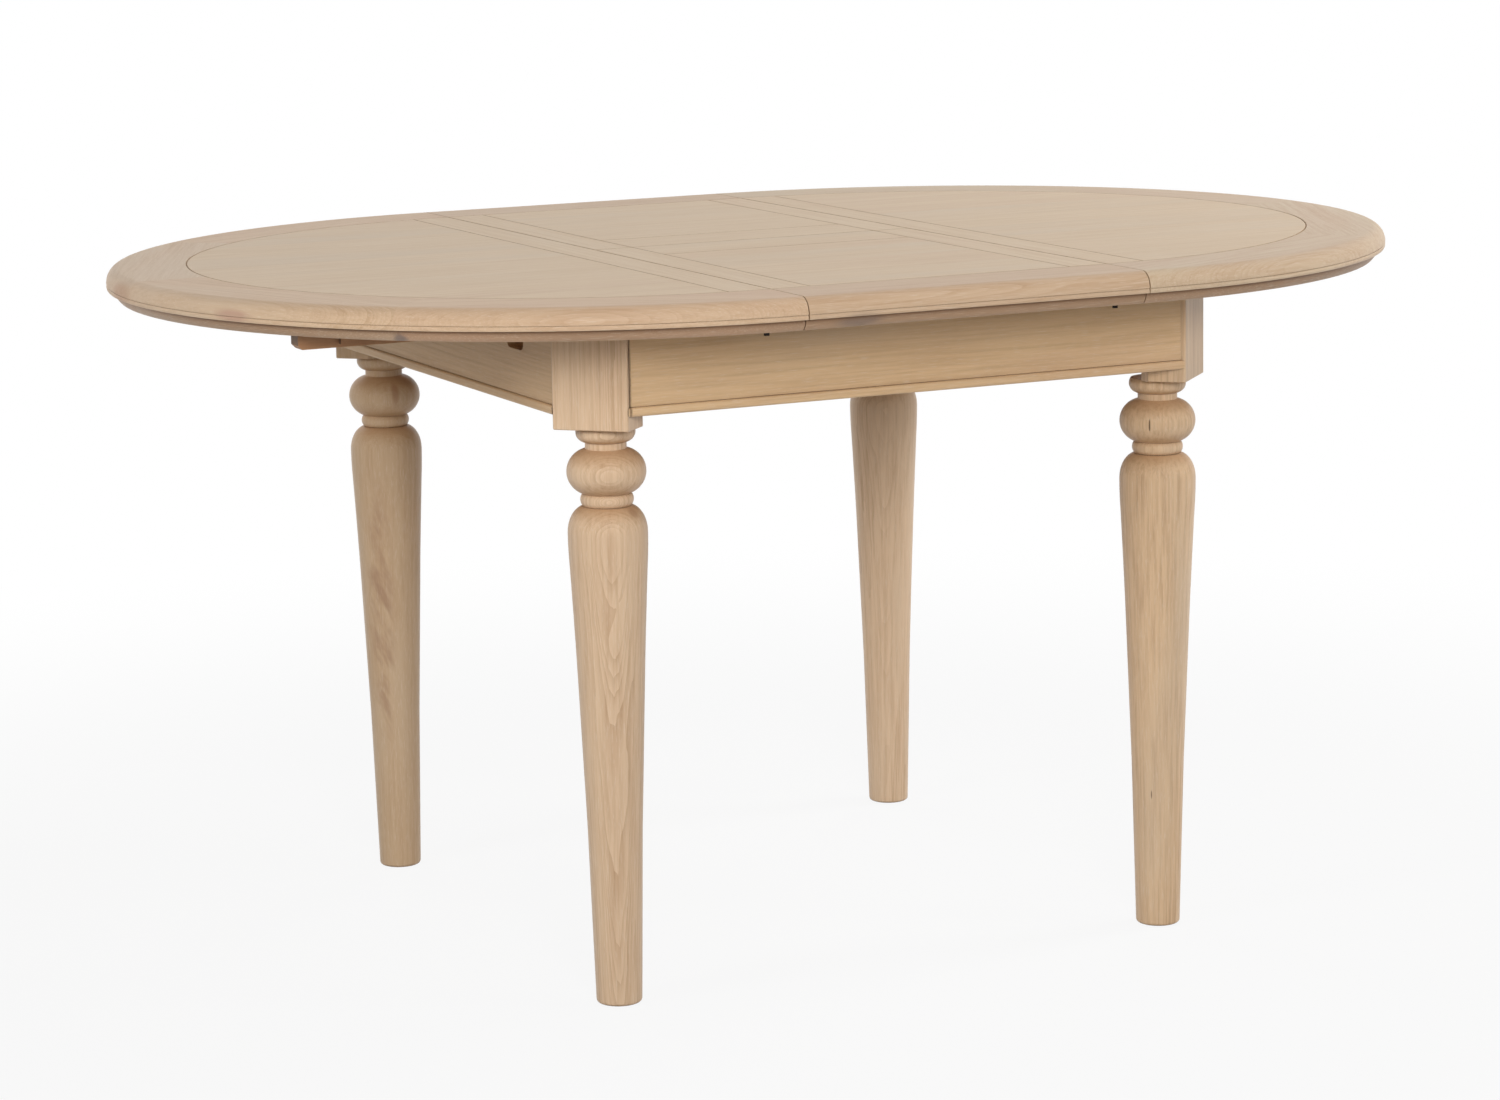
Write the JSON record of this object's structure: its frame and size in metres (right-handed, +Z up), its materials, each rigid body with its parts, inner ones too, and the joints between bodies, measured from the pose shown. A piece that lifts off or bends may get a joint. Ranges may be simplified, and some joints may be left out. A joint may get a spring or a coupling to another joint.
{
  "type": "extending dining table",
  "caption": "Oval extending dining table on turned legs: half-round ends slide apart on wooden runners, with a folding leaf between them that lifts out.",
  "frame": {"origin": "on the floor, under the middle of the table", "axes": "+X along the extended table, +Y from front to back, +Z up"},
  "size_m": [1.4998, 1.1, 0.775],
  "materials": {
    "limed_oak": "satin, white-washed",
    "runner_beech": "bare, waxed",
    "zinc_plated_steel": "zinc plated",
    "blackened_steel": "blackened, satin",
    "hinge_brass": "satin"
  },
  "bodies": {
    "frame": {"front_left_leg": "limed_oak", "front_left_brace": "runner_beech", "front_right_leg": "limed_oak", "front_right_brace": "runner_beech", "back_left_leg": "limed_oak", "back_left_brace": "runner_beech", "back_right_leg": "limed_oak", "back_right_brace": "runner_beech", "front_apron": "limed_oak", "front_apron_bead": "limed_oak", "back_apron": "limed_oak", "back_apron_bead": "limed_oak", "left_apron": "limed_oak", "left_apron_bead": "limed_oak", "right_apron": "limed_oak", "right_apron_bead": "limed_oak", "front_outer_guide": "runner_beech", "front_inner_guide": "runner_beech", "back_outer_guide": "runner_beech", "back_inner_guide": "runner_beech", "cross_rail": "runner_beech", "corner_bolts": "zinc_plated_steel", "corner_washers": "zinc_plated_steel", "corner_nuts": "zinc_plated_steel"},
    "left_end": {"left_rim": "limed_oak", "left_field": "limed_oak", "left_seam_strip": "limed_oak", "left_rim_moulding": "limed_oak", "left_front_runner": "runner_beech", "left_back_runner": "runner_beech", "left_screws": "zinc_plated_steel", "left_stop_pegs": "runner_beech"},
    "right_end": {"right_rim": "limed_oak", "right_field": "limed_oak", "right_seam_strip": "limed_oak", "right_rim_moulding": "limed_oak", "right_front_runner": "runner_beech", "right_back_runner": "runner_beech", "right_screws": "zinc_plated_steel", "right_stop_pegs": "runner_beech"},
    "leaf_back": {"leaf_back_border": "limed_oak", "leaf_back_moulding": "limed_oak", "leaf_back_left_strip": "limed_oak", "leaf_back_right_strip": "limed_oak", "leaf_back_field": "limed_oak", "leaf_back_fold_strip": "limed_oak", "leaf_back_hinge_barrels": "hinge_brass", "leaf_back_lock_pins": "blackened_steel"},
    "leaf_front": {"leaf_front_border": "limed_oak", "leaf_front_moulding": "limed_oak", "leaf_front_left_strip": "limed_oak", "leaf_front_right_strip": "limed_oak", "leaf_front_field": "limed_oak", "leaf_front_fold_strip": "limed_oak", "leaf_front_hinge_barrels": "hinge_brass", "leaf_front_lock_pins": "blackened_steel"},
    "front_left_lock": {"front_left_lock_hook": "blackened_steel"},
    "back_left_lock": {"back_left_lock_hook": "blackened_steel"},
    "front_right_lock": {"front_right_lock_hook": "blackened_steel"},
    "back_right_lock": {"back_right_lock_hook": "blackened_steel"}
  },
  "joints": [
    {"name": "left_end_slide", "type": "slide", "parent": "frame", "child": "left_end", "axis": [-1, 0, 0], "range_m": [0, 0.04]},
    {"name": "right_end_slide", "type": "slide", "parent": "frame", "child": "right_end", "axis": [1, 0, 0], "range_m": [0, 0.04]},
    {"name": "leaf_lift", "type": "slide", "parent": "frame", "child": "leaf_back", "axis": [0, 0, 1], "range_m": [0, 0.3]},
    {"name": "leaf_fold", "type": "hinge", "parent": "leaf_back", "child": "leaf_front", "pos_m": [0, 0, 0.775], "axis": [-1, 0, 0], "range_deg": [0, 178]},
    {"name": "front_left_lock_turn", "type": "hinge", "parent": "left_end", "child": "front_left_lock", "pos_m": [-0.207, -0.474, 0.7495], "axis": [0, 0, -1], "range_deg": [0, 90]},
    {"name": "back_left_lock_turn", "type": "hinge", "parent": "left_end", "child": "back_left_lock", "pos_m": [-0.207, 0.474, 0.7495], "axis": [0, 0, 1], "range_deg": [0, 90]},
    {"name": "front_right_lock_turn", "type": "hinge", "parent": "right_end", "child": "front_right_lock", "pos_m": [0.207, -0.474, 0.7495], "axis": [0, 0, 1], "range_deg": [0, 90]},
    {"name": "back_right_lock_turn", "type": "hinge", "parent": "right_end", "child": "back_right_lock", "pos_m": [0.207, 0.474, 0.7495], "axis": [0, 0, -1], "range_deg": [0, 90]}
  ]
}
